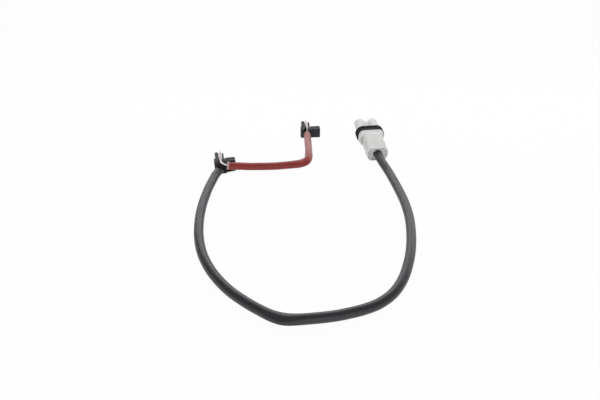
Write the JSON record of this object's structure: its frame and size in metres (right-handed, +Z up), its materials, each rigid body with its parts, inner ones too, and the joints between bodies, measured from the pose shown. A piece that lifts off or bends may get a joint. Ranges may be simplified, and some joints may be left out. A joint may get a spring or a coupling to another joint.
{
  "type": "brake pad wear sensor",
  "caption": "Brake pad wear sensor: a round-barrelled plug on a sheathed cable that ends in a pad head with a spring clip, linked by a sleeved lead to a matching head.",
  "frame": {"origin": "on the table, under the middle of the box that holds the plug and the two heads", "axes": "+X from the first head to the plug, +Y the way the plug's nose and the heads' clips point, +Z up from the table"},
  "size_m": [0.1166, 0.1663, 0.0097],
  "materials": {
    "nylon": "satin natural nylon",
    "rubber": "matte",
    "sheath": "satin",
    "sleeve": "coated braid",
    "wire": "satin",
    "head": "satin moulded",
    "steel": "rolled spring strip",
    "copper": "bare drawn wire",
    "tin": "tinned",
    "resin": "cast resin"
  },
  "bodies": {
    "root": {"connector_housing": "nylon", "connector_seal": "rubber", "connector_cable_retainer": "nylon", "connector_contact_1": "tin", "connector_contact_2": "tin", "cable_sheath": "sheath", "link_sleeve": "sleeve", "feed_wire": "wire", "return_wire": "wire", "link_wire": "wire", "junction_boot": "rubber", "head_1_housing": "head", "head_1_block_lid": "head", "head_1_spring_clip": "steel", "head_1_sensing_loop": "copper", "head_1_lower_splice": "tin", "head_1_upper_splice": "tin", "head_1_potting": "resin", "head_2_housing": "head", "head_2_block_lid": "head", "head_2_spring_clip": "steel", "head_2_sensing_loop": "copper", "head_2_lower_splice": "tin", "head_2_upper_splice": "tin", "head_2_potting": "resin"}
  },
  "joints": []
}
